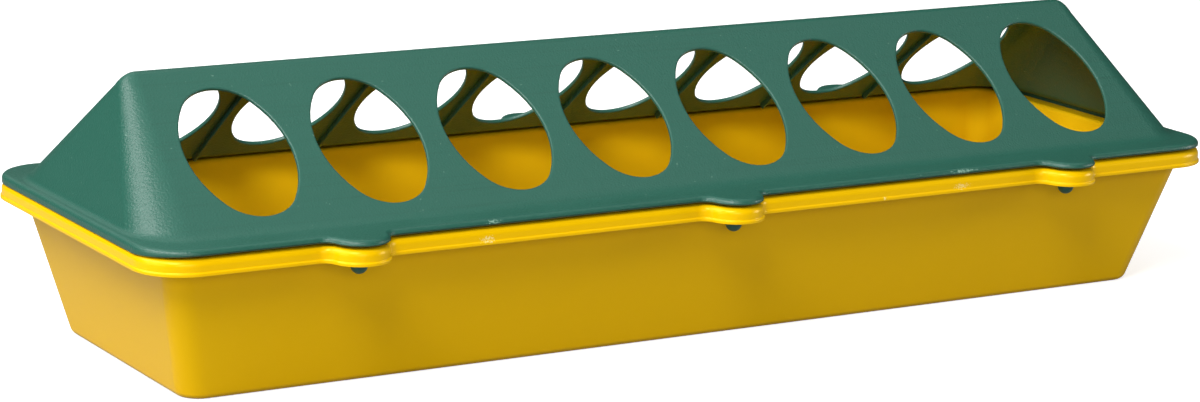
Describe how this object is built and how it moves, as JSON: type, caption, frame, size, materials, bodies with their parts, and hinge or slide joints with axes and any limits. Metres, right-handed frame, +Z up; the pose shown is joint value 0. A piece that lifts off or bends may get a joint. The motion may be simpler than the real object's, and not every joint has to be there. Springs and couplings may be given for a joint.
{
  "type": "trough feeder",
  "caption": "Long plastic trough feeder for chicks: a yellow tray with leaning walls and a green hipped lid with rows of oval feed holes that lifts off.",
  "frame": {"origin": "on the floor under the middle of the tray", "axes": "+X along the trough, +Y to the back long side, +Z up"},
  "size_m": [0.5, 0.1906, 0.1154],
  "materials": {
    "tray_plastic": "glossy moulded polypropylene",
    "lid_plastic": "satin moulded polypropylene"
  },
  "bodies": {
    "tray": {"tray": "tray_plastic"},
    "lid": {"lid": "lid_plastic"}
  },
  "joints": [
    {"name": "lid_lift", "type": "slide", "parent": "tray", "child": "lid", "axis": [0, 0, 1], "range_m": [0, 0.12]}
  ]
}
